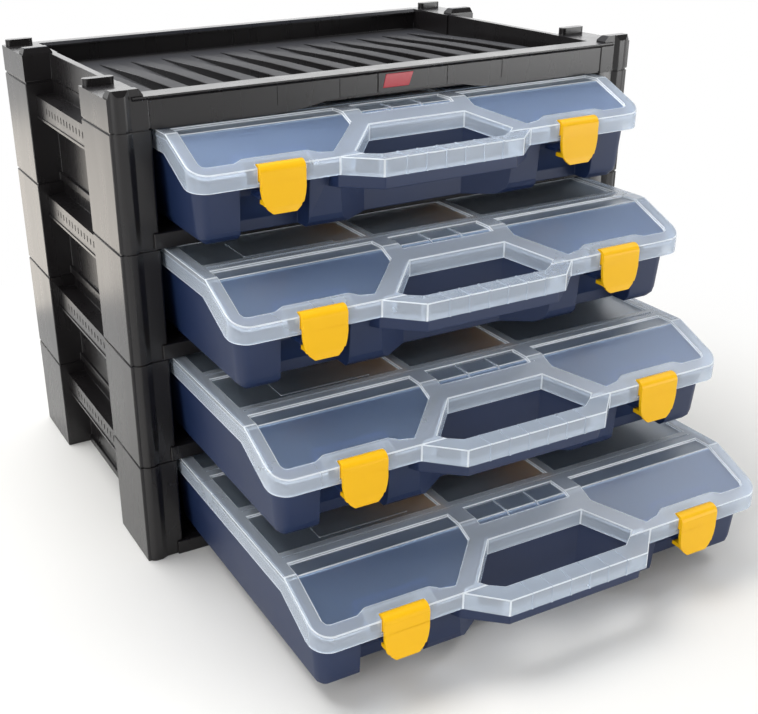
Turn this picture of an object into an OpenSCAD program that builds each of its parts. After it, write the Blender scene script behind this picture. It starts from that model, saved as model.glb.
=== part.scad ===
// Stacking rack of four modules and a top tray, holding four slide-in assortment cases pulled out in
// steps.
// Millimetres, X right, Y to the back, Z up.
// The origin is on the floor, in the middle of the rack's footprint.

/* [Rack] */
// Width over the side faces of the pillars
rack_w = 460; // [420:1:520]
// Depth over the front and back faces of the pillars
rack_d = 304; // [280:1:340]
// Height of one module, seam to seam
pitch = 88; // [84:1:100]
// Width of a pillar, from its side face to the bay
pillar_w = 31; // [28:0.5:34]
// Depth of a front pillar
pillar_front_d = 68; // [60:1:76]
// Depth of a back pillar
pillar_back_d = 74; // [64:1:80]
// Radius of the pillars' outer corners
pillar_r = 7; // [6:0.5:9]
// Width of the proud column at the outer end of a pillar
column_w = 11.5; // [10:0.5:14]
// Setback of the rest of a pillar from its column
step_d = 2; // [1:0.25:2.5]
// Wall thickness of the rack mouldings
wall = 3; // [2:0.5:3.5]
// Height of the front sill, which is the level a case slides on
sill_h = 12; // [10:0.5:14]
// Depth of the side recesses, from the side face to the bay wall
recess_d = 24; // [20:0.5:25]
// Height of the lip of a side grip
grip_h = 19; // [15:0.5:22]
// Drop from a seam to the top of the side grip below it
grip_drop = 12; // [9:0.5:15]
// Height of the shadow groove at each seam
seam_h = 1.5; // [1:0.25:2.5]
// Depth of the shadow groove at each seam
seam_d = 1; // [0.5:0.25:1.5]

/* [Tray] */
// Height of the tray, seam to rim
tray_h = 22.5; // [20:0.5:28]
// Width of the front rim
rim_front = 19; // [15:0.5:24]
// Width of the back rim
rim_back = 12; // [9:0.5:16]
// Height of the lip along the front rim
lip_h = 3.5; // [2.5:0.25:4.5]
// Rise of the arch in the middle of the front apron
arch_rise = 5; // [3:0.5:6]
// Half width of the arch
arch_half = 100; // [80:1:120]
// Spacing of the floor ribs
rib_pitch = 29.5; // [26:0.5:36]
// Height of the floor ribs at the front
rib_h = 9; // [5:0.5:10]
// Length of the oblong lugs, along X
lug_l = 24; // [18:0.5:25]
// Height of the corner lugs
lug_h = 5.5; // [4:0.5:7]
// Length of the badge plate
badge_l = 23; // [18:0.5:28]

/* [Cases] */
// How far the top case is pulled out, rack front to latch plane
pull_1 = 60; // [0:1:240]
// How far the second case is pulled out
pull_2 = 119; // [0:1:240]
// How far the third case is pulled out
pull_3 = 174; // [0:1:240]
// How far the bottom case is pulled out
pull_4 = 230; // [0:1:240]
// Sideways play between a lid rail and a pillar
slide_gap = 4; // [2:0.5:5]
// Play between a lid and the module above it
lid_gap = 2; // [1.5:0.25:4]
// Setback of a closed case's latch plane from the rack front
setback = 25; // [24:0.5:30]
// Drop of the lid from the crease to the front rim
lid_drop = 20.5; // [16:0.5:23]
// Distance from the latch plane to the crease of the lid
crease_y = 48; // [44:0.5:52]
// Height of the lid skirt
skirt_h = 13; // [11:0.5:15]
// Width of the lid rails
rail_w = 10; // [8:0.5:12]
// Depth of the sunken lid panels
panel_sink = 2; // [1:0.25:2.25]
// Thickness of the lid skin and skirt
skin = 2.2; // [1.8:0.1:2.4]
// Thickness of the base walls
base_t = 2; // [1.5:0.25:2.5]
// Inset of the base's front and back walls from the lid, at the top
base_inset = 6; // [5.5:0.25:7]
// Gap between the base's side walls and the lid skirt, at the top
base_gap = 0.6; // [0.4:0.1:3]
// Draft of the base walls, top to bottom
base_draft = 5; // [3:0.5:6]
// Radius of the rounded bottom edge of the bases
base_r = 9; // [5:0.5:10]
// Depth of the latch bays in the bases at the bottom, from the latch plane
latch_bay_d = 31.5; // [26:0.5:32]
// Depth of the latch bays above the catch ledge
latch_bay_top = 20; // [18:0.5:22]
// Offset of the dividers from the middle
divider_x = 49; // [46:0.5:54]
// Thickness of the dividers
divider_t = 1.8; // [1.2:0.1:2.4]

/* [Latches] */
// Distance of a latch's middle from the side of the case
latch_inset = 66; // [60:0.5:70]
// Width of a latch
latch_w = 35; // [30:0.5:37]
// Thickness of the latch plate
latch_t = 2.8; // [2.2:0.1:3.2]
// Radius of the latch pivot stubs
pivot_r = 1.5; // [1.2:0.1:1.8]
// Radial clearance of the pivot stubs
pivot_gap = 0.08; // [0.05:0.01:0.1]

/* [Hidden] */
$fn = 64;
e = 0.01;
front = -rack_d / 2;
back = rack_d / 2;
side = rack_w / 2;
bay = side - pillar_w;
recess_x = side - recess_d;
bay_wall = recess_x - wall;
rack_top = 4 * pitch;
front_end = front + pillar_front_d;
back_start = back - pillar_back_d;
grip_x = side - 8;
tray_in = bay_wall - 3;
floor_z = rack_top + 1;
floor_t = 2.5;
rim = rack_top + tray_h;
apron_y = front + step_d + 0.6;
apron_low = rack_top - lid_gap + 0.8;
badge_z0 = rack_top + arch_rise + 3;
badge_z1 = rim - lip_h - 0.7;
case_hw = bay - slide_gap;
case_len = rack_d - setback - wall - 1;
lid_top = pitch - lid_gap;
rim_top = lid_top - lid_drop;
rim_low = rim_top - skirt_h;
slope = lid_drop / crease_y;
roof = skin + panel_sink;
seat = 0.1;
base_hw = case_hw - skin - base_gap;
base_y0 = base_inset + 2;
base_y1 = case_len - base_inset;
base_top = lid_top - roof - seat;
corner_r = base_draft + 0.69 * base_r + base_t + 0.5;
house_d = 12.5;
latch_x = case_hw - latch_inset;
pivot_y = 2.8;
pivot_z = rim_top - 3.5;
barrel_r = pivot_y + latch_t + 0.4;
ledge_z = pivot_z - 20;
band_y = crease_y + 14;
band_w = 14;
row = (case_len - rail_w - band_y) / 3;
open_y = 30;
open_x = 42;
bar_y = -22.5;
bar_x = 60;
house = latch_w / 2 + 8.5;
hinge_y = case_len - 4;
hinge_z = lid_top - 9;
hinge_r = 2;

module box(x0, x1, y0, y1, z0, z1) translate([x0, y0, z0]) cube([x1 - x0, y1 - y0, z1 - z0]);

module both() {
  children();
  mirror([1, 0, 0]) children();
}

// Extrudes a profile drawn in Y and Z along X.
module along_x(x0, x1) translate([x0, 0, 0]) rotate([90, 0, 90]) linear_extrude(x1 - x0) children();

// Plan of a right-hand pillar that starts at y0, drawn in by an inset: a proud column with a rounded outer
// corner, a face set back beside it, and a thin side plate that ends short of the corner.
module pillar_shape(y0, depth, inset) {
  r = pillar_r - inset;
  x0 = bay + inset;
  x1 = side - 1 - inset;
  y1 = y0 + depth - inset;
  ys = y0 + step_d + inset;
  xc = side - 1 - column_w + inset;
  translate([x0, ys + 2]) square([x1 - r - x0, y1 - ys - 2]);
  translate([x0 + 2, ys]) square([x1 - r - x0 - 2, 4]);
  translate([x0 + 2, ys + 2]) circle(2);
  translate([x1 - r - 1, y0 + pillar_r]) square([r + 1, y1 - y0 - pillar_r]);
  translate([x1 - r, y0 + pillar_r]) circle(r);
  polygon([[x1 - r, y0 + inset], [xc, y0 + inset], [xc - 4, ys], [xc - 4, ys + 3], [x1 - r, ys + 3]]);
  translate([side - 3 - inset, y0 + pillar_r - 4.5 + inset]) square([3, depth - pillar_r + 4.5 - 2 * inset]);
}

module four_pillars(z0, z1, inset) {
  both() translate([0, 0, z0]) linear_extrude(z1 - z0) pillar_shape(front, pillar_front_d, inset);
  both() mirror([0, 1, 0]) translate([0, 0, z0]) linear_extrude(z1 - z0)
    pillar_shape(-back, pillar_back_d, inset);
}

// A bevelled block lug, its front at y0.
module block_lug(y0, z0) {
  x0 = bay + 4.5;
  x1 = side - 1;
  intersection() {
    rotate([90, 0, 0]) linear_extrude(800, center = true)
      polygon([[x0, z0 - e], [x1, z0 - e], [x1, z0 + 1], [x1 - 2, z0 + lug_h], [x0 + 3, z0 + lug_h],
        [x0, z0 + 1]]);
    along_x(0, side)
      polygon([[y0, z0 - e], [y0 + 13, z0 - e], [y0 + 13, z0 + 2], [y0 + 10, z0 + lug_h],
        [y0 + 1.5, z0 + lug_h], [y0, z0 + 1]]);
  }
}

// An oblong lug, its middle at y0.
module oblong_lug(y0, z0) {
  xm = bay + pillar_w / 2 + 2;
  translate([0, y0, z0 - e]) linear_extrude(lug_h + e) {
    translate([xm - lug_l / 2 + 4, -4]) square([lug_l - 8, 8]);
    translate([xm - lug_l / 2 + 4, 0]) circle(4);
    translate([xm + lug_l / 2 - 4, 0]) circle(4);
  }
}

// All lugs on one level, kept inside the pillars' outline drawn in by an inset.
module lugs(z0, inset) {
  intersection() {
    both() {
      block_lug(front, z0);
      block_lug(back_start, z0);
      oblong_lug(front_end - 5.5, z0);
      oblong_lug(back - 12, z0);
    }
    four_pillars(z0 - 1, z0 + lug_h + 1, inset);
  }
}

// Side grip: a web out from the bay wall, a lip hanging from it, a bead and a row of small ticks.
module grip(z_top) {
  y0 = front_end - 1;
  y1 = back_start + 1;
  box(recess_x - 0.5, grip_x, y0, y1, z_top - 2.5, z_top);
  along_x(grip_x - 2.5, grip_x) {
    translate([y0, z_top - grip_h]) square([y1 - y0, grip_h]);
  }
  box(grip_x - 2.5, grip_x + 0.8, y0, y1, z_top - grip_h, z_top - grip_h + 2);
  for (k = [-6:6]) box(grip_x - e, grip_x + 0.3, k * 8.5 - 3.6, k * 8.5 - 2.4, z_top - 11, z_top - 6);
}

module rack_module(n) {
  translate([0, 0, (4 - n) * pitch]) color("#3f3d3d") {
    difference() {
      union() {
        four_pillars(0, pitch - seam_h, 0);
        four_pillars(pitch - seam_h - e, pitch, seam_d);
      }
      four_pillars(-1, pitch - wall, wall);
    }
    lugs(pitch, wall + 0.5);
    both() {
      box(bay_wall, recess_x, front_end - 1, back_start + 1, 0, pitch);
      box(bay - 1, bay_wall + 1, front_end - 1, back_start + 1, sill_h - wall, sill_h);
      box(recess_x - e, recess_x + 2.5, front_end - 1, back_start + 1, 0, 7);
      grip(pitch - grip_drop);
    }
    box(-bay - 1, bay + 1, front + 1, back - 1, sill_h - wall, sill_h);
    box(-bay - 5, bay + 5, front, front + wall + 1, 0, sill_h);
    box(-bay - 5, bay + 5, back - wall, back, 0, pitch);
    // crossing ribs under the floor
    box(-1.5, 1.5, front + wall, back - wall + e, 0, sill_h - wall + e);
    box(-bay_wall - e, bay_wall + e, -1.5, 1.5, 0, sill_h - wall + e);
  }
}

// Wedge ribs of the tray floor, rising in a curve from the back to the front.
module tray_ribs() {
  n = floor((tray_in - 16) / rib_pitch);
  y0 = front + rim_front - 1;
  y1 = back - rim_back - 34;
  z0 = floor_z + floor_t;
  for (k = [-n:n])
    along_x(k * rib_pitch - 7, k * rib_pitch + 7)
      polygon([[y0, z0 - 1.5], [y1, z0 - 1.5], [y1, z0 + 0.5], [y1 * 0.8 + y0 * 0.2, z0 + rib_h * 0.38],
        [y1 * 0.55 + y0 * 0.45, z0 + rib_h * 0.7], [y1 * 0.3 + y0 * 0.7, z0 + rib_h * 0.9],
        [y0, z0 + rib_h]]);
}

// Half of the arch's outline, from its foot to its flat top.
arch = [[1, 0], [0.86, 0.1], [0.72, 0.42], [0.58, 0.86], [0.46, 1]];

module top_tray() {
  arch_h = rack_top + arch_rise - apron_low;
  color("#454242") {
    difference() {
      union() {
        four_pillars(rack_top, rim, 0);
        box(-bay - 5, bay + 5, apron_y, front + rim_front, rack_top, rim);
        box(-bay + 0.4, bay - 0.4, apron_y, apron_y + wall, apron_low, rack_top + 1);
        along_x(-bay - 13, bay + 13)
          polygon([[front, rim], [front, rim - 1.2], [apron_y + e, rim - lip_h], [apron_y + 2, rim - lip_h],
            [apron_y + 2, rim]]);
        box(-bay - 5, bay + 5, back - rim_back, back, rack_top, rim);
        along_x(-tray_in, tray_in)
          polygon([[back - rim_back + e, rim], [back - rim_back - 2.5, rim - 2.5],
            [back - rim_back - 2.5, rim - 4], [back - rim_back + e, rim - 4]]);
        both() box(tray_in, recess_x, front_end - 1, back_start + 1, rack_top, rim);
        both() box(tray_in, bay + 3, front + step_d + 2, back - 2, rack_top, rim);
      }
      four_pillars(rack_top - 1, rim - wall, wall);
      box(-bay - 1, bay + 1, apron_y + wall, front + rim_front - wall, rack_top - 3, rim - wall);
      box(-bay - 1, bay + 1, back - rim_back + wall, back - wall, rack_top - 1, rim - wall);
      // arch in the apron
      translate([0, apron_y + wall + 0.5, apron_low]) rotate([90, 0, 0]) linear_extrude(wall + 4) {
        polygon([for (p = arch) [arch_half * p[0], arch_h * p[1]], [0, arch_h], [0, -1], [arch_half, -1]]);
        polygon([for (p = arch) [-arch_half * p[0], arch_h * p[1]], [0, arch_h], [0, -1], [-arch_half, -1]]);
      }
    }
    box(-tray_in - 1, tray_in + 1, front + rim_front - wall, back - rim_back + wall, floor_z,
      floor_z + floor_t);
    tray_ribs();
    lugs(rim, 0);
    for (x = [-arch_half, -48, 48, arch_half])
      box(x - 0.6, x + 0.6, apron_y - 0.4, apron_y + e, rack_top + arch_rise, rim - lip_h + 0.5);
    difference() {
      box(-badge_l / 2 - 4, badge_l / 2 + 7.5, apron_y - 0.8, apron_y + e, badge_z0 - 2.5, badge_z1 + 1);
      translate([0, apron_y, 0]) badge_shape(0.1, 2);
    }
  }
}

// The slanted badge, widened by a given amount, its back on the plane y = 0.
module badge_shape(grow, thick) {
  l = badge_l / 2 + grow;
  rotate([90, 0, 0]) linear_extrude(thick)
    polygon([[-l, badge_z0 - grow], [l, badge_z0 - grow], [l + 4, badge_z1 + grow],
      [-l + 2.5, badge_z1 + grow]]);
}

module badge_plate() {
  color("#b02030") translate([0, apron_y, 0]) badge_shape(0, 1.3);
}

// Places a part of case n: the case's own origin is the latch plane on the seam, in the middle.
module in_case(n) {
  pulls = [pull_1, pull_2, pull_3, pull_4];
  translate([0, front - pulls[n - 1], (4 - n) * pitch]) children();
}

// A block with drafted sides and coned corners, wider at the top.
module drafted(hw, y0, y1, z0, z1, r, inset) {
  x = hw - r;
  rotate([90, 0, 0]) translate([0, 0, -(y1 - r)]) linear_extrude(y1 - y0 - 2 * r)
    polygon([[-hw + inset, z0], [hw - inset, z0], [hw, z1], [-hw, z1]]);
  along_x(-x, x) polygon([[y0 + inset, z0], [y1 - inset, z0], [y1, z1], [y0, z1]]);
  for (sx = [-1, 1])
    for (y = [y0 + r, y1 - r])
      translate([sx * x, y, z0]) cylinder(h = z1 - z0, r1 = r - inset, r2 = r);
}

// Height and inset of the steps that round the bottom edge of a tub, in parts of its radius.
tub_steps = [[0, 0.69], [0.134, 0.5], [0.5, 0.134], [1, 0]];

// The body of a base, drawn in by t at its sides and bottom, up to a given height.
module tub(t, top) {
  z0 = sill_h + t;
  drafted(base_hw - t, base_y0 + t, base_y1 - t, z0 + base_r, top, corner_r - t, base_draft);
  for (i = [0:2]) {
    a = tub_steps[i] * base_r;
    b = tub_steps[i + 1] * base_r;
    d = t + base_draft + b[1];
    drafted(base_hw - d, base_y0 + d, base_y1 - d, z0 + a[0], z0 + b[0] + e, corner_r - d, a[1] - b[1]);
  }
}

// Plan of the lid, rounded at its corners, drawn in by an inset.
module lid_plan(inset) {
  r = 14 - inset;
  hw = case_hw - inset;
  translate([-hw + r, inset]) square([2 * (hw - r), case_len - 2 * inset]);
  translate([-hw, inset + r]) square([2 * hw, case_len - 2 * inset - 2 * r]);
  for (sx = [-1, 1])
    for (y = [inset + r, case_len - inset - r])
      translate([sx * (hw - r), y]) circle(r);
}

// Space above a surface that runs parallel to the lid's top, lower by a given drop.
module above(drop) {
  along_x(-case_hw - 5, case_hw + 5)
    polygon([[-40, rim_top - drop - 40 * slope], [crease_y, lid_top - drop], [case_len + 5, lid_top - drop],
      [case_len + 5, lid_top + 20], [-40, lid_top + 20]]);
}

module below(drop) {
  along_x(-case_hw - 5, case_hw + 5)
    polygon([[-40, -5], [case_len + 5, -5], [case_len + 5, lid_top - drop], [crease_y, lid_top - drop],
      [-40, rim_top - drop - 40 * slope]]);
}

// Plan of the hand opening, widened by a given amount.
module opening_plan(grow) {
  c = open_x + open_y + grow * 1.414;
  polygon([[-c + open_y + grow, open_y + grow], [c - open_y - grow, open_y + grow], [c - 4, 4],
    [53 + grow, -7], [-53 - grow, -7], [-c + 4, 4]]);
}

// Plans of the sunken panels.
module front_panel_plan() {
  b = divider_x + 6;
  hw = case_hw - rail_w;
  difference() {
    polygon([[b, band_y], [b, 35], [84, 7], [102, 9], [hw - 4, 9], [hw - 1.5, 10], [hw, 13],
      [hw, band_y]]);
    translate([latch_x, 0])
      polygon([[-house - 6, 0], [house + 6, 0], [house + 6, 9], [house - 1, house_d], [-house + 1, house_d],
        [-house - 6, 9]]);
  }
}

module rear_panel_plans() {
  b0 = divider_x - 4;
  b1 = divider_x + 4;
  hw = case_hw - rail_w;
  for (k = [0:2]) {
    y0 = band_y + k * row + band_w;
    y1 = band_y + (k + 1) * row;
    translate([b1, y0]) square([hw - b1, y1 - y0]);
    translate([-hw, y0]) square([hw - b1, y1 - y0]);
    translate([-b0, y0]) square([2 * b0, y1 - y0]);
  }
}

module lid(n) {
  in_case(n) color("#9fb0c2", 0.6) {
    difference() {
      union() {
        difference() {
          intersection() {
            linear_extrude(lid_top + 5) lid_plan(0);
            along_x(-case_hw, case_hw)
              polygon([[0, rim_low], [0, rim_top], [crease_y, lid_top], [case_len, lid_top],
                [case_len, lid_top - skirt_h - 2], [crease_y + 6, lid_top - skirt_h - 2],
                [18, rim_low + 1.5]]);
          }
          intersection() {
            linear_extrude(lid_top + 5) lid_plan(skin);
            below(roof);
          }
        }
        // latch housings
        for (sx = [-1, 1])
          intersection() {
            box(sx * latch_x - house, sx * latch_x + house, 0, house_d, rim_low, lid_top);
            below(0);
          }
        // walls round the hand opening
        intersection() {
          linear_extrude(lid_top) opening_plan(skin);
          difference() {
            below(0);
            below(skirt_h);
          }
          box(-case_hw, case_hw, 0, case_len, 0, lid_top);
        }
        // upper half of the grip bar
        translate([0, 0, rim_low]) linear_extrude(skirt_h)
          polygon([[-bar_x - 23, e], [-bar_x, bar_y], [bar_x, bar_y], [bar_x + 23, e], [bar_x + 18, 5],
            [-bar_x - 18, 5]]);
        for (x = [-41.25:16.5:42])
          box(x - 0.7, x + 0.7, bar_y - 0.6, -8, rim_low, rim_top + 0.6);
      }
      translate([0, 0, rim_low - 10]) linear_extrude(lid_top) opening_plan(0);
      // sunken panels
      intersection() {
        linear_extrude(lid_top + 5) both() front_panel_plan();
        above(panel_sink);
      }
      translate([0, 0, lid_top - panel_sink]) linear_extrude(10) rear_panel_plans();
      intersection() {
        translate([-40, crease_y - 5, 0]) cube([80, band_y - crease_y + 7, lid_top + 5]);
        above(panel_sink);
      }
      // grooves along the cross bands
      for (k = [0:2])
        translate([0, band_y + k * row, lid_top])
          box(-case_hw + rail_w, case_hw - rail_w, 5.5, 8.5, -0.8, 1);
      // latch pockets and pivot holes
      for (sx = [-1, 1]) {
        translate([sx * latch_x, 0, pivot_z])
          box(-latch_w / 2 - 0.5, latch_w / 2 + 0.5, -1, pivot_y, -barrel_r - 0.4, lid_top);
        translate([sx * latch_x - latch_w / 2 - 0.5, pivot_y, pivot_z]) rotate([0, 90, 0])
          cylinder(h = latch_w + 1, r = barrel_r + 0.4);
        translate([sx * latch_x - latch_w / 2 - 3.2, pivot_y, pivot_z]) rotate([0, 90, 0])
          cylinder(h = latch_w + 6.4, r = pivot_r + pivot_gap);
      }
      // hinge notches
      for (sx = [-1, 1])
        box(sx * latch_x - 13, sx * latch_x + 13, case_len - 9, case_len + 1, 0, lid_top - roof + 0.5);
    }
    // label window bars
    intersection() {
      for (x = [-13.5, 13.5]) box(x - 0.6, x + 0.6, crease_y - 5.5, band_y + 2.5, 0, lid_top);
      difference() {
        below(panel_sink - 1);
        below(roof - 0.5);
      }
    }
    // bare raised field on the first panel of the left row
    translate([0, 0, lid_top - panel_sink])
      box(-case_hw + 45, -divider_x - 28, band_y + band_w + 6, band_y + row - 12, -e, 0.6);
    // hinge pins
    for (sx = [-1, 1])
      translate([sx * latch_x - 14, hinge_y, hinge_z]) rotate([0, 90, 0]) cylinder(h = 28, r = hinge_r);
    for (sx = [-1, 1])
      for (x = [-16, 13])
        translate([sx * latch_x, 0, 0])
          box(x, x + 3, base_y1 + 0.8, case_len - 1, lid_top - skirt_h, lid_top - 1);
  }
}

// Plan of the hand alcove in the base, widened by a given amount.
module alcove_plan(grow) {
  polygon([[-82 - grow, -40], [-82 - grow, 8 + grow * 0.3], [-44 - grow * 0.6, 33.5 + grow],
    [44 + grow * 0.6, 33.5 + grow], [82 + grow, 8 + grow * 0.3], [82 + grow, -40]]);
}

// Room for a latch in the front of a base, widened by a given amount: deeper below the catch ledge.
module latch_bay(grow) {
  deep = latch_bay_d + grow;
  shallow = latch_bay_top + grow;
  for (sx = [-1, 1])
    translate([sx * latch_x, 0, 0]) along_x(-house - 1 - grow, house + 1 + grow)
      polygon([[-20, -5], [deep, -5], [deep, sill_h + base_r], [shallow, ledge_z], [shallow, lid_top + 5],
        [-20, lid_top + 5]]);
}

module base(n) {
  wall_y = band_y + band_w / 2;
  z0 = sill_h;
  in_case(n) color("#2e3954") {
    intersection() {
      difference() {
        tub(0, lid_top);
        difference() {
          tub(base_t, lid_top + 1);
          linear_extrude(lid_top + 5) alcove_plan(base_t);
          latch_bay(base_t);
        }
        translate([0, 0, -5]) linear_extrude(lid_top + 10) alcove_plan(0);
        latch_bay(0);
      }
      below(roof + seat);
    }
    intersection() {
      union() {
        box(-base_hw, base_hw, wall_y - 0.9, wall_y + 0.9, z0 + 1, base_top);
        // slots that hold the dividers
        both() for (sx = [-1, 1])
          translate([divider_x + sx * (divider_t / 2 + 0.15 + 0.6), 0, 0]) {
            box(-0.6, 0.6, wall_y, wall_y + 4, z0 + 1, base_top - 1);
            box(-0.6, 0.6, base_y1 - base_draft - 6, base_y1 + 1, z0 + 1, base_top - 1);
          }
      }
      tub(e, lid_top);
    }
    // lower half of the grip bar
    difference() {
      translate([0, 0, rim_low - 10]) linear_extrude(10 - seat)
        polygon([[-86, 12.5], [-83, 3], [-bar_x + 3, bar_y + 3.5], [bar_x - 3, bar_y + 3.5], [83, 3],
          [86, 12.5]]);
      translate([0, 0, rim_low - 11]) linear_extrude(14)
        polygon([[-80, 14], [-69, 4], [-53, -8], [53, -8], [69, 4], [80, 14]]);
    }
    // catch ledges for the latches
    for (sx = [-1, 1])
      box(sx * latch_x - 15, sx * latch_x + 15, 6, latch_bay_top + 1, ledge_z, ledge_z + 2.5);
    // hinge ears
    for (sx = [-1, 1])
      difference() {
        union() {
          translate([sx * latch_x, 0, 0])
            box(-12, 12, base_y1 - 2.5, hinge_y + 3, lid_top - 24, hinge_z);
          translate([sx * latch_x - 12, hinge_y, hinge_z]) rotate([0, 90, 0]) cylinder(h = 24, r = 3);
        }
        translate([sx * latch_x - 13, hinge_y, hinge_z]) rotate([0, 90, 0])
          cylinder(h = 26, r = hinge_r + pivot_gap);
        translate([sx * latch_x, 0, 0]) box(-13, 13, hinge_y - 1.6, hinge_y + 1.6, hinge_z, lid_top);
      }
  }
}

// A divider, its lower back corner cut off to clear the rounded bottom edge.
module divider(n, s) {
  y0 = band_y + band_w / 2 + 1;
  y1 = base_y1 - base_draft - base_t - 0.3;
  z0 = sill_h + base_t;
  z1 = base_top - 0.4;
  cut = base_r + 0.5;
  in_case(n) color("#a8722f")
    along_x(s * divider_x - divider_t / 2, s * divider_x + divider_t / 2)
      polygon([[y0, z0], [y1 - cut, z0], [y1, z0 + cut], [y1, z1], [y0, z1]]);
}

module latch(n, s) {
  low = pivot_z - 29;
  w = latch_w / 2;
  out = latch_t + 0.4;
  in_case(n) translate([s * latch_x, 0, 0]) color("#fbc000") {
    intersection() {
      along_x(-w, w)
        polygon([[-0.4, pivot_z], [-out, pivot_z], [-out - 0.3, pivot_z - 7], [-out - 0.4, pivot_z - 17],
          [-out - 0.6, pivot_z - 24], [-out - 1.4, low], [-1.8, low], [-1.2, pivot_z - 24],
          [-0.9, pivot_z - 17], [-0.5, pivot_z - 7]]);
      rotate([90, 0, 0]) linear_extrude(40, center = true)
        polygon([[-w, pivot_z + 9], [-w, pivot_z - 12], [-w + 0.8, pivot_z - 18], [-w + 2.2, pivot_z - 23],
          [-w + 3.6, pivot_z - 23.4], [-w + 5, pivot_z - 26], [-w + 8.5, low], [w - 8.5, low],
          [w - 5, pivot_z - 26], [w - 3.6, pivot_z - 23.4], [w - 2.2, pivot_z - 23], [w - 0.8, pivot_z - 18],
          [w, pivot_z - 12], [w, pivot_z + 9]]);
    }
    // rolled top and its stubs
    translate([-w, pivot_y, pivot_z]) rotate([0, 90, 0]) cylinder(h = latch_w, r = barrel_r);
    translate([-w - 2.8, pivot_y, pivot_z]) rotate([0, 90, 0]) cylinder(h = latch_w + 5.6, r = pivot_r);
    // hook
    box(-14, 14, -1.6, 8, ledge_z - 3.4, ledge_z - 0.4);
  }
}

rack_module(1);  // rack_module_1
rack_module(2);  // rack_module_2
rack_module(3);  // rack_module_3
rack_module(4);  // rack_module_4
top_tray();
badge_plate();
base(1);  // base_1
lid(1);  // lid_1
latch(1, -1);  // latch_left_1
latch(1, 1);  // latch_right_1
divider(1, -1);  // divider_left_1
divider(1, 1);  // divider_right_1
base(2);  // base_2
lid(2);  // lid_2
latch(2, -1);  // latch_left_2
latch(2, 1);  // latch_right_2
divider(2, -1);  // divider_left_2
divider(2, 1);  // divider_right_2
base(3);  // base_3
lid(3);  // lid_3
latch(3, -1);  // latch_left_3
latch(3, 1);  // latch_right_3
divider(3, -1);  // divider_left_3
divider(3, 1);  // divider_right_3
base(4);  // base_4
lid(4);  // lid_4
latch(4, -1);  // latch_left_4
latch(4, 1);  // latch_right_4
divider(4, -1);  // divider_left_4
divider(4, 1);  // divider_right_4
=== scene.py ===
"""Dresses the stacking rack and its four slide-in assortment cases for a studio picture."""
import math

import bmesh
import bpy
import numpy as np
from mathutils import Matrix, Vector


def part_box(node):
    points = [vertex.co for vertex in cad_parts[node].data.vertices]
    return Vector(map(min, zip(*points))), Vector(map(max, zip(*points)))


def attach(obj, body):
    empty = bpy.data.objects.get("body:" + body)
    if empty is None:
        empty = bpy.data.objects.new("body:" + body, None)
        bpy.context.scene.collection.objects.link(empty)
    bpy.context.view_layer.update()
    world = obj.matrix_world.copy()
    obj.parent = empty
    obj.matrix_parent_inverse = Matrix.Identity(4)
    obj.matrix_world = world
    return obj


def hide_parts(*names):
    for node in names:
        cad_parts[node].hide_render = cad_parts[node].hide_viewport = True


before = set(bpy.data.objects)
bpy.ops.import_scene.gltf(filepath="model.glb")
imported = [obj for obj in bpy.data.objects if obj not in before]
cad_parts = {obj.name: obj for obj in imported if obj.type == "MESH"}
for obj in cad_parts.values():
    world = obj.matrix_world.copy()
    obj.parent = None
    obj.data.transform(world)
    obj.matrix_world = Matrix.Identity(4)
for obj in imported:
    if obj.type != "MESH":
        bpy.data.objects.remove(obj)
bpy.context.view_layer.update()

MM = 0.001
CASES = (1, 2, 3, 4)
WHITE = "#FFFFFF"


# Colours and nodes

def linear(hex_colour):
    """sRGB hex to linear red, green, blue and 1: c/12.92 below 0.04045, else ((c+0.055)/1.055)^2.4."""
    c = np.array([int(hex_colour[i:i + 2], 16) for i in (1, 3, 5)]) / 255
    c = np.where(c <= 0.04045, c / 12.92, ((c + 0.055) / 1.055) ** 2.4)
    return (*c.tolist(), 1.0)


def add(tree, kind, settings=None, **sockets):
    """Adds one node, sets its properties, and sets or links its inputs by name, or by number as in _0."""
    node = tree.nodes.new(kind)
    for name, value in (settings or {}).items():
        setattr(node, name, value)
    for name, value in sockets.items():
        socket = node.inputs[int(name[1:]) if name[1:].isdigit() else name.replace("_", " ")]
        if isinstance(value, bpy.types.NodeSocket):
            tree.links.new(value, socket)
        else:
            socket.default_value = value
    return node


# Plastics

TINT_PATCH = 60 * MM      # size of the slow changes in tint and gloss
NOISE_SPAN = (0.3, 0.7)   # nearly all values of the noise lie between these
GLOSS_SPREAD = 0.07       # share by which the roughness wanders
GRAIN_HEIGHT = 0.1 * MM   # height of the mould grain at a depth of 1


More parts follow.
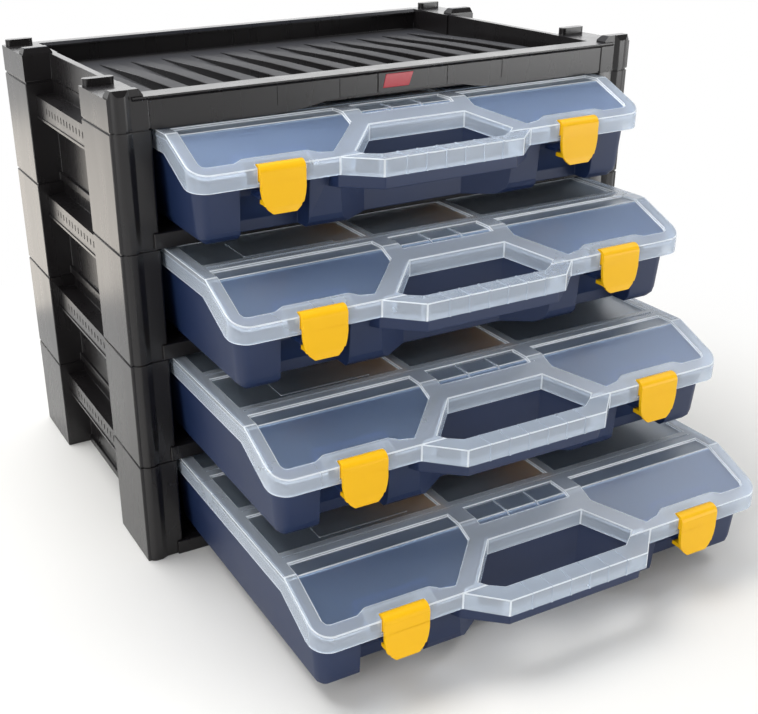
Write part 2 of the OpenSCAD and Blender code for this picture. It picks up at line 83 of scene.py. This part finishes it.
def plastic(name, colour, tint, roughness, grain_mm, grain_depth, streak=(1, 1, 1), passes=0.0,
            **shader):
    """A moulded plastic: one colour that wanders to a tint, a mould grain and an uneven gloss.

    The grain of a real mould is too fine to show, so grain_mm is coarser, about as fine as shows. streak
    is how much finer the slow changes are along each axis. passes is the part of the lamps' light that
    goes straight through, for plastics one can see through."""
    material = bpy.data.materials.new(name)
    material.use_nodes = True
    tree = material.node_tree
    tree.nodes.clear()
    place = add(tree, "ShaderNodeTexCoord").outputs["Object"]
    squeezed = add(tree, "ShaderNodeMapping", Vector=place, Scale=streak).outputs[0]
    slow = add(tree, "ShaderNodeTexNoise", Vector=squeezed, Scale=1 / TINT_PATCH, Detail=4.0).outputs[0]
    fine = add(tree, "ShaderNodeTexNoise", Vector=place, Scale=1 / (grain_mm * MM),
               Detail=2.0).outputs[0]
    hue = add(tree, "ShaderNodeMix", {"data_type": "RGBA"}, _0=slow, _6=linear(colour),
              _7=linear(tint)).outputs[2]
    gloss = add(tree, "ShaderNodeMapRange", Value=slow, From_Min=NOISE_SPAN[0], From_Max=NOISE_SPAN[1],
                To_Min=roughness * (1 - GLOSS_SPREAD), To_Max=roughness * (1 + GLOSS_SPREAD)).outputs[0]
    bump = add(tree, "ShaderNodeBump", Height=fine, Strength=grain_depth,
               Distance=GRAIN_HEIGHT).outputs[0]
    surface = add(tree, "ShaderNodeBsdfPrincipled", Base_Color=hue, Roughness=gloss, Normal=bump,
                  **shader).outputs[0]
    if passes:
        shadow = add(tree, "ShaderNodeLightPath").outputs["Is Shadow Ray"]
        part = add(tree, "ShaderNodeMath", {"operation": "MULTIPLY"}, _0=shadow, _1=passes).outputs[0]
        half = [c ** 0.5 for c in linear(colour)]  # of a wall's two faces, each takes half of the colour
        through = add(tree, "ShaderNodeBsdfTransparent", Color=half).outputs[0]
        surface = add(tree, "ShaderNodeMixShader", _0=part, _1=surface, _2=through).outputs[0]
    add(tree, "ShaderNodeOutputMaterial", Surface=surface)
    return material


# Polypropylene, moulded, carbon black: dark, satin, with faint upright flow streaks in side light.
RACK = plastic("polypropylene black moulded", "#171516", tint="#1C1A1B", roughness=0.28, grain_mm=1.4,
               grain_depth=0.06, streak=(3, 3, 0.5), IOR=1.49)
# The same from an etched mould face: matt, so that it stays dark at a flat angle.
MATT = plastic("polypropylene black etched", "#171516", tint="#1F1D1E", roughness=0.6, grain_mm=1.4,
               grain_depth=0.10, IOR=1.49)
# Polypropylene, moulded, navy: satin to matt.
NAVY = plastic("polypropylene navy moulded", "#142445", tint="#192B50", roughness=0.48, grain_mm=1.2,
               grain_depth=0.12, IOR=1.49)
# Polypropylene, natural, with a frosted mould face: milky, lets light through softly.
FROST = plastic("polypropylene natural frosted", "#CCD6E1", tint="#D8E0E9", roughness=0.26, grain_mm=0.9,
                grain_depth=0.06, passes=0.85, IOR=1.49, Transmission_Weight=0.66)
# The same on the lids' rounded edges, whiter and less clear: a painted highlight for the light that a
# thick edge catches and scatters.
EDGE = plastic("polypropylene natural edge painted highlight", "#E2E8EE", tint="#E9EEF3", roughness=0.26, grain_mm=0.9,
               grain_depth=0.02, passes=0.4, IOR=1.49, Transmission_Weight=0.20)
# The same in thin, polished panels behind the ridge: nearly clear, so that the dividers show.
CLEAR = plastic("polypropylene natural clear", "#D2DEEA", tint="#D8E4F0", roughness=0.30, grain_mm=2.0,
                grain_depth=0.0, passes=1.0, IOR=1.49, Transmission_Weight=0.94)
# The same in the sloping front panels, finely etched: a cool haze with a soft gloss.
HAZE = plastic("polypropylene natural etched", "#B6CEF0", tint="#BCD4F4", roughness=0.30, grain_mm=2.0,
               grain_depth=0.0, passes=1.0, IOR=1.49, Transmission_Weight=0.93, Specular_IOR_Level=0.45)
# ABS, moulded, signal yellow: a full colour with little shine.
YELLOW = plastic("ABS yellow moulded", "#F1B600", tint="#F6BE02", roughness=0.40, grain_mm=1.1,
                 grain_depth=0.15, IOR=1.53, Specular_IOR_Level=0.25)
# Polystyrene, moulded, amber: bright and glossy.
AMBER = plastic("polystyrene amber moulded", "#F39A3C", tint="#F8A648", roughness=0.30, grain_mm=1.5,
                grain_depth=0.10, IOR=1.57)
# ABS, moulded, red: smooth and glossy.
RED = plastic("ABS red gloss", "#A81B2B", tint="#B52233", roughness=0.22, grain_mm=1.5,
              grain_depth=0.05, IOR=1.53)


# Moulded copies of the CAD nodes, with the small edge radii of a real moulding

MERGE = 0.004 * MM          # corners nearer to each other than this become one
FLAT = math.radians(0.4)    # faces that turn less than this become one
SHARP = math.radians(18)    # edges that turn more than this are rounded
CREASE = math.radians(50)   # edges of the rounded piece that turn more than this are shaded sharp
SEGMENTS = 2                # facets across an edge radius
ROOM = 0.42                 # share of a crossing edge that one radius may take up
LEAST = 0.8                 # an edge with room for less than this share of its radius stays sharp
FOLD = 40 * MM * MM         # a face whose triangles exceed its area by this much crosses itself
TRIES = 5                   # times that crossing faces are looked for
ROUNDING = 1e-6             # what a cosine of 1 may be off by in the arithmetic


def sides(mesh):
    """The edge at every corner of a face, and the number of that face."""
    loops, faces = len(mesh.loops), len(mesh.polygons)
    side, corners = np.zeros(loops, np.int32), np.zeros(faces, np.int32)
    mesh.loops.foreach_get("edge_index", side)
    mesh.polygons.foreach_get("loop_total", corners)
    return side, np.repeat(np.arange(faces), corners)


def edge_angles(mesh):
    """Angle at every edge: the arc cosine of its two faces' normals multiplied, 0 without two faces."""
    edges, normal = len(mesh.edges), np.zeros(len(mesh.polygons) * 3)
    mesh.polygons.foreach_get("normal", normal)
    normal = normal.reshape(-1, 3)
    side, face = sides(mesh)
    order = np.argsort(side, kind="stable")
    face = face[order]
    first = np.minimum(np.searchsorted(side[order], np.arange(edges)), len(side) - 2)
    cosine = (normal[face[first]] * normal[face[first + 1]]).sum(1)
    return np.where(np.bincount(side, minlength=edges) == 2, np.arccos(np.clip(cosine, -1, 1)), 0)


def crossed(mesh):
    """Numbers of the faces that cross themselves: their triangles add up to more than their area."""
    mesh.calc_loop_triangles()
    triangles, faces = len(mesh.loop_triangles), len(mesh.polygons)
    of, size = np.zeros(triangles, np.int32), np.zeros(triangles)
    area, number = np.zeros(faces), np.zeros(faces, np.int32)
    mesh.loop_triangles.foreach_get("polygon_index", of)
    mesh.loop_triangles.foreach_get("area", size)
    mesh.polygons.foreach_get("area", area)
    mesh.attributes["number"].data.foreach_get("value", number)
    return number[np.bincount(of, size, faces) > area + FOLD]


def bevel_weights(mesh, radius, crosswise):
    """Share of the radius that every edge is rounded with, 0 to 1, in whole arrays.

    Edges beyond SHARP are rounded, with less than the radius where ROOM of the shortest edge that meets
    them at the angle crosswise or more is shorter, and not at all where that leaves LEAST or less."""
    edges = len(mesh.edges)
    ends, point = np.zeros(edges * 2, np.int32), np.zeros(len(mesh.vertices) * 3)
    mesh.edges.foreach_get("vertices", ends)
    mesh.vertices.foreach_get("co", point)
    ends, point = ends.reshape(-1, 2), point.reshape(-1, 3)
    along = point[ends[:, 1]] - point[ends[:, 0]]
    length = np.linalg.norm(along, axis=1)
    along /= length[:, None]
    # the edges at each vertex, one row per vertex, filled up with -1
    by_vertex = np.argsort(ends.ravel(), kind="stable")
    vertex = ends.ravel()[by_vertex]
    column = np.arange(len(vertex)) - np.searchsorted(vertex, vertex)
    meeting = np.full((len(point), column.max() + 1), -1)
    meeting[vertex, column] = by_vertex // 2
    others = meeting[ends].reshape(edges, -1)
    turned = np.abs((along[:, None] * along[others]).sum(2)) <= math.cos(crosswise) + ROUNDING
    room = np.where((others >= 0) & turned, length[others], np.inf).min(1)
    weight = np.minimum(1, ROOM * room / radius)
    return np.where((edge_angles(mesh) > SHARP) & (weight > LEAST), weight, 0).astype(np.float32)


def moulded(node, body, materials, radius_mm, pick=None, edge_slot=-1, crosswise=0.0):
    """Copy of a CAD node with its doubles merged, flat triangles joined and its sharp edges rounded.

    pick gives each face's place in materials from its middle and its normal, in whole arrays, and
    edge_slot is the place of the material on the rounded edges, or -1 for that of the faces."""
    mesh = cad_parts[node].data.copy()
    bm = bmesh.new()
    bm.from_mesh(mesh)
    bmesh.ops.remove_doubles(bm, verts=bm.verts, dist=MERGE)
    bmesh.ops.dissolve_limit(bm, angle_limit=FLAT, verts=bm.verts, edges=bm.edges)
    bm.to_mesh(mesh)
    bm.free()
    mesh.attributes.remove(mesh.attributes["custom_normal"])
    mesh.materials.clear()
    for material in materials:
        mesh.materials.append(material)
    count = len(mesh.polygons)
    index = np.zeros(count, np.int32)
    if pick:
        middle, normal = np.zeros(count * 3), np.zeros(count * 3)
        mesh.polygons.foreach_get("center", middle)
        mesh.polygons.foreach_get("normal", normal)
        index = pick(middle.reshape(-1, 3), normal.reshape(-1, 3)).astype(np.int32)
    mesh.polygons.foreach_set("material_index", index)
    mesh.polygons.foreach_set("use_smooth", np.ones(count, bool))
    piece = bpy.data.objects.new(node + "_moulded", mesh)
    bpy.context.scene.collection.objects.link(piece)
    bevel = piece.modifiers.new("edge radius", "BEVEL")
    bevel.width = radius_mm * MM
    bevel.segments = SEGMENTS
    bevel.limit_method = "WEIGHT"
    bevel.use_clamp_overlap = False
    bevel.material = edge_slot
    number = mesh.attributes.new("number", "INT", "FACE")
    number.data.foreach_set("value", np.arange(count, dtype=np.int32))
    mesh.attributes.new("bevel_weight_edge", "FLOAT", "EDGE")
    angle, weight = edge_angles(mesh), bevel_weights(mesh, radius_mm * MM, crosswise)
    side, face = sides(mesh)
    # round the edges, and leave all edges of a face sharp if it then crosses itself
    for _ in range(TRIES):
        mesh.attributes["bevel_weight_edge"].data.foreach_set("value", weight)
        mesh.edges.foreach_set("use_edge_sharp", (angle > SHARP) & (weight == 0))
        mesh.update()
        made = piece.evaluated_get(bpy.context.evaluated_depsgraph_get())
        rounded = bpy.data.meshes.new_from_object(made)
        folds = np.isin(face, crossed(rounded))
        if not folds.any():
            break
        weight[side[folds]] = 0
    rounded.name = piece.name
    rounded.attributes.remove(rounded.attributes["number"])
    piece.modifiers.clear()
    piece.data = rounded
    sharp = np.zeros(len(rounded.edges), bool)
    rounded.edges.foreach_get("use_edge_sharp", sharp)
    rounded.edges.foreach_set("use_edge_sharp", sharp | (edge_angles(rounded) > CREASE))
    flat = piece.modifiers.new("flat faces stay flat", "WEIGHTED_NORMAL")
    flat.mode = "FACE_AREA"
    flat.weight = 100  # the largest face at a corner decides
    flat.keep_sharp = True
    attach(piece, body)
    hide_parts(node)


# Faces of the lids and the tray with a finish of their own

LEVEL = 0.8              # a face lies level or slopes gently where its normal's upright part is above this
TRAY_DEPTH = 12 * MM     # the tray's floor and ribs lie deeper than this below its highest point
GRIP = 23.1 * MM         # from the front of the grip back to the front of the lid
RIDGE = 48 * MM          # from the front of the lid back to its ridge
FALL = 20.5 * MM         # from the ridge down to the front
PANEL_HALF = 186 * MM    # the panels lie nearer than this to the middle
PANEL_START = 5 * MM     # and begin farther than this behind the front
PANEL_DEPTH = (1.2 * MM, 5 * MM)   # their bottoms lie between these depths under the roof
LID = [FROST, CLEAR, EDGE, HAZE]


def lid_faces(node):
    """Face picker of one lid: HAZE in the bottom of a sunken panel before the ridge, CLEAR in one behind
    it, FROST elsewhere. The roof falls evenly from the ridge to the front and is level behind it."""
    low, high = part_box(node)
    front = low.y + GRIP

    def pick(middle, normal):
        y = middle[:, 1] - front
        roof = np.where(y < RIDGE, high.z - (RIDGE - y) * FALL / RIDGE, high.z)
        depth = roof - middle[:, 2]
        level = np.abs(normal[:, 2]) > LEVEL
        inside = (np.abs(middle[:, 0]) < PANEL_HALF) & (y > PANEL_START)
        panel = level & inside & (depth > PANEL_DEPTH[0]) & (depth < PANEL_DEPTH[1])
        return np.where(panel, np.where(y < RIDGE, LID.index(HAZE), LID.index(CLEAR)), LID.index(FROST))
    return pick


def tray_faces(middle, normal):
    """Face picker of the tray: 1 where a face looks up from the floor and its ribs, 0 elsewhere."""
    return (normal[:, 2] > LEVEL) & (middle[:, 2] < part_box("top_tray")[1].z - TRAY_DEPTH)


for i in CASES:
    case = f"case_{i}"
    moulded(f"base_{i}", case, [NAVY], radius_mm=0.8)
    # the lid's rounded edges take the whiter copy of its plastic, a painted edge highlight
    moulded(f"lid_{i}", case, LID, radius_mm=0.7, pick=lid_faces(f"lid_{i}"),
            edge_slot=LID.index(EDGE), crosswise=math.radians(40))
    for hand in ("left", "right"):
        moulded(f"latch_{hand}_{i}", f"latch_{hand}_{i}", [YELLOW], radius_mm=0.5)
        moulded(f"divider_{hand}_{i}", case, [AMBER], radius_mm=0.4)
    moulded(f"rack_module_{i}", "rack", [RACK], radius_mm=0.8)
moulded("top_tray", "rack", [RACK, MATT], radius_mm=0.8, pick=tray_faces)
moulded("badge_plate", "rack", [RED], radius_mm=0.4)


# Studio: pale floor, white surroundings, soft lamps

FLOOR_HALF = 8.0                      # half the floor's side, in metres
FLOOR_MIDDLE = (0, -0.15, 0)          # the place under the part
PAPER_END, WHITE_START = 0.34, 0.75   # metres from there, between which the paper turns into plain white
LIGHT_LEVEL = 0.4                     # strength of the surroundings as light
FRONT_LEVEL, BACK_LEVEL = 0.15, 1.0   # and as seen in reflections, in front and at the back
FRONT_END, BACK_START = -0.2, 0.5     # directions along Y between which the one turns into the other
HIGH_START, HIGH_END = 0.5, 0.85      # directions along Z between which reflections turn cool
COOL = "#9CBAF0"


def stage():
    """Floor square of four corners at height 0: paper round the part, and white to the eye farther out."""
    corners = np.array([[-1, -1, 0], [1, -1, 0], [1, 1, 0], [-1, 1, 0]]) * FLOOR_HALF
    mesh = bpy.data.meshes.new("floor")
    mesh.from_pydata(corners.tolist(), [], [(0, 1, 2, 3)])
    floor = bpy.data.objects.new("floor", mesh)
    bpy.context.scene.collection.objects.link(floor)
    material = bpy.data.materials.new("studio floor paper")
    material.use_nodes = True
    tree = material.node_tree
    tree.nodes.clear()
    paper = add(tree, "ShaderNodeBsdfPrincipled", Base_Color=linear("#F3F2EF"), Roughness=0.8).outputs[0]
    white = add(tree, "ShaderNodeEmission", Color=linear(WHITE), Strength=1.0).outputs[0]
    place = add(tree, "ShaderNodeTexCoord").outputs["Object"]
    reach = add(tree, "ShaderNodeVectorMath", {"operation": "DISTANCE"}, _0=place,
                _1=FLOOR_MIDDLE).outputs["Value"]
    far = add(tree, "ShaderNodeMapRange", {"interpolation_type": "SMOOTHSTEP"}, Value=reach,
              From_Min=PAPER_END, From_Max=WHITE_START).outputs[0]
    # rays from the camera, and those it sends on by reflection and through clear pieces
    path = add(tree, "ShaderNodeLightPath").outputs
    seen = add(tree, "ShaderNodeMath", {"operation": "MAXIMUM"}, _0=path["Is Camera Ray"],
               _1=path["Is Glossy Ray"]).outputs[0]
    seen = add(tree, "ShaderNodeMath", {"operation": "MAXIMUM"}, _0=seen,
               _1=path["Is Transmission Ray"]).outputs[0]
    part = add(tree, "ShaderNodeMath", {"operation": "MULTIPLY"}, _0=far, _1=seen).outputs[0]
    mixed = add(tree, "ShaderNodeMixShader", _0=part, _1=paper, _2=white).outputs[0]
    add(tree, "ShaderNodeOutputMaterial", Surface=mixed)
    mesh.materials.append(material)


def sky():
    """White to the camera, a plain level as light, and in reflections and through clear pieces white at
    the back, cool overhead and dark in front."""
    world = bpy.data.worlds.new("studio")
    bpy.context.scene.world = world
    world.use_nodes = True
    tree = world.node_tree
    tree.nodes.clear()
    place = add(tree, "ShaderNodeTexCoord").outputs["Generated"]
    way = add(tree, "ShaderNodeSeparateXYZ", Vector=place).outputs
    path = add(tree, "ShaderNodeLightPath").outputs
    mirrored = add(tree, "ShaderNodeMath", {"operation": "MAXIMUM"}, _0=path["Is Glossy Ray"],
                   _1=path["Is Transmission Ray"]).outputs[0]
    back = add(tree, "ShaderNodeMapRange", Value=way["Y"], From_Min=FRONT_END, From_Max=BACK_START,
               To_Min=FRONT_LEVEL, To_Max=BACK_LEVEL).outputs[0]
    high = add(tree, "ShaderNodeMapRange", Value=way["Z"], From_Min=HIGH_START,
               From_Max=HIGH_END).outputs[0]
    cool = add(tree, "ShaderNodeMath", {"operation": "MULTIPLY"}, _0=high, _1=mirrored).outputs[0]
    colour = add(tree, "ShaderNodeMix", {"data_type": "RGBA"}, _0=cool, _6=linear(WHITE),
                 _7=linear(COOL)).outputs[2]
    level = add(tree, "ShaderNodeMix", {"data_type": "FLOAT"}, _0=mirrored, _2=LIGHT_LEVEL,
                _3=back).outputs[0]
    shown = add(tree, "ShaderNodeMath", {"operation": "MAXIMUM"}, _0=level,
                _1=path["Is Camera Ray"]).outputs[0]
    light = add(tree, "ShaderNodeBackground", Color=colour, Strength=shown)
    add(tree, "ShaderNodeOutputWorld", Surface=light.outputs[0])


def camera():
    """Camera of the photograph: 26 degrees from the left, 25 degrees from above, tilted 1.5 degrees.

    Its values come from a fit to points of the part. width, height, focal and centre are in the picture's
    pixels. The point about, in mm, is seen at offset: so far to the right, down and ahead."""
    width, height = 758, 714
    focal, centre = 1119.636, (292.082, 375.864)
    turn, lift, roll = (math.radians(a) for a in (-26.0225, 24.9105, 1.49083))
    about = np.array([0, -142, 176])
    offset = np.array([80.31916, -57.93692, 942.37647])
    sensor = 36
    ahead = np.array([-math.sin(turn) * math.cos(lift), math.cos(turn) * math.cos(lift), -math.sin(lift)])
    right = np.cross(ahead, (0, 0, 1))
    right /= np.linalg.norm(right)
    down = np.cross(ahead, right)
    right, down = (math.cos(roll) * right + math.sin(roll) * down,
                   -math.sin(roll) * right + math.cos(roll) * down)
    place = about - right * offset[0] - down * offset[1] - ahead * offset[2]
    view = bpy.data.cameras.new("camera")
    view.sensor_fit = "HORIZONTAL"
    view.sensor_width = sensor
    view.lens = focal / width * sensor
    view.shift_x = (width / 2 - centre[0]) / width
    view.shift_y = (centre[1] - height / 2) / width
    view.clip_start = 0.01
    holder = bpy.data.objects.new("camera", view)
    turned = np.eye(4)
    turned[:3, 0], turned[:3, 1], turned[:3, 2] = right, -down, -ahead
    turned[:3, 3] = place * MM
    holder.matrix_world = Matrix(turned.tolist())
    bpy.context.scene.collection.objects.link(holder)
    bpy.context.scene.camera = holder


def lamp(name, place, target, size, power, colour=WHITE):
    """Soft rectangular lamp at a place, aimed at a target, in metres and watts."""
    light = bpy.data.lights.new(name, "AREA")
    light.shape = "RECTANGLE"
    light.size, light.size_y = size
    light.energy = power
    light.color = linear(colour)[:3]
    holder = bpy.data.objects.new(name, light)
    aim = (Vector(target) - Vector(place)).to_track_quat("-Z", "Y")
    holder.matrix_world = Matrix.Translation(place) @ aim.to_matrix().to_4x4()
    holder.visible_camera = False
    bpy.context.scene.collection.objects.link(holder)


stage()
sky()
camera()
middle = (0, -0.15, 0.18)
lamp("softbox front right", place=(1.55, -1.85, 0.3), target=middle, size=(1.3, 0.5), power=16)
lamp("softbox front left", place=(-1.7, -1.0, 0.7), target=middle, size=(0.9, 0.9), power=14)
lamp("softbox above", place=(-0.55, 0.45, 1.9), target=(-0.4, 0, 0.2), size=(1.5, 1.2), power=32)
lamp("softbox right", place=(1.35, -0.36, 1.55), target=(0, -0.24, 0.1), size=(0.8, 0.8), power=7)
lamp("softbox back", place=(0.8, 1.9, 0.75), target=middle, size=(2.2, 0.9), power=6)
# lies on the floor behind the rack on the left, where the rack's left side mirrors it
lamp("bright card", place=(-0.55, 1.05, 0.004), target=(-0.55, 1.05, 1.0), size=(0.6, 1.2), power=3.0,
     colour="#FFF3E2")
bpy.context.scene.view_settings.view_transform = "Standard"
